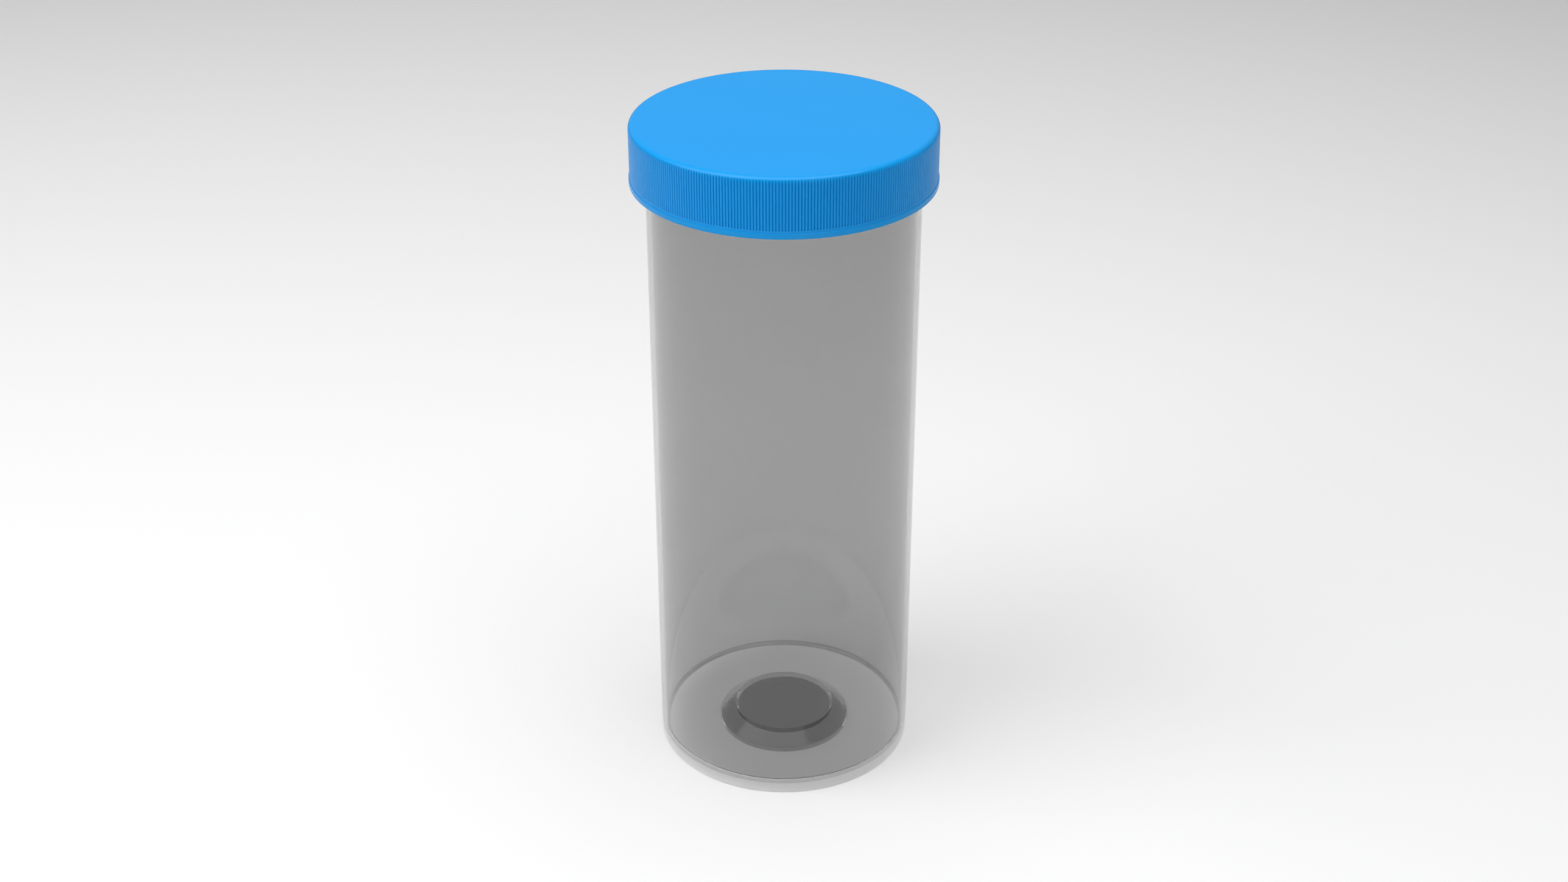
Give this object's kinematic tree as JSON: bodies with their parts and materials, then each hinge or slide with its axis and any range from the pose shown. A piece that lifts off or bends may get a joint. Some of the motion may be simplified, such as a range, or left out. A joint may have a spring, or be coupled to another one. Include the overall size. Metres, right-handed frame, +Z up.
{
  "type": "prescription vial",
  "caption": "Clear smoke-grey cylindrical medicine vial with a raised floor centre and a low blue ribbed push-and-turn screw closure.",
  "frame": {"origin": "centre of the base, on the surface that the vial stands on", "axes": "+Z up the vial's axis to the closure's top; +X and +Y are level, and X is where the first thread starts"},
  "size_m": [0.0558, 0.0558, 0.1301],
  "materials": {
    "vial_plastic": "clear smoke-tinted, smooth and glossy",
    "blue_plastic": "satin moulded polypropylene",
    "white_plastic": "natural white moulded polypropylene",
    "liner_foam": "fine closed-cell foam",
    "spring_plastic": "natural white moulded polypropylene"
  },
  "bodies": {
    "vial": {"vial_body": "vial_plastic"},
    "closure_seal": {"liner": "liner_foam"},
    "closure_inner": {"inner_cap": "white_plastic"},
    "closure_spring": {"spring_fingers": "spring_plastic"},
    "closure_shell": {"outer_cap": "blue_plastic"}
  },
  "joints": [
    {"name": "cap_lift", "type": "slide", "parent": "vial", "child": "closure_seal", "axis": [0, 0, 1], "range_m": [0, 0.0127]},
    {"name": "cap_turn", "type": "hinge", "parent": "closure_seal", "child": "closure_inner", "pos_m": [0, 0, 0.1236], "axis": [0, 0, 1], "range_deg": [0, 720]},
    {"name": "shell_spin", "type": "hinge", "parent": "closure_inner", "child": "closure_spring", "pos_m": [0, 0, 0.1275], "axis": [0, 0, 1], "continuous": true},
    {"name": "shell_push", "type": "slide", "parent": "closure_spring", "child": "closure_shell", "axis": [0, 0, 1], "range_m": [-0.00075, 0], "stiffness_N_per_m": 500, "deforming": ["spring_fingers"]}
  ],
  "couplings": [
    {"joint": "cap_turn", "follows": "cap_lift", "rad_per_m": 989.48}
  ]
}
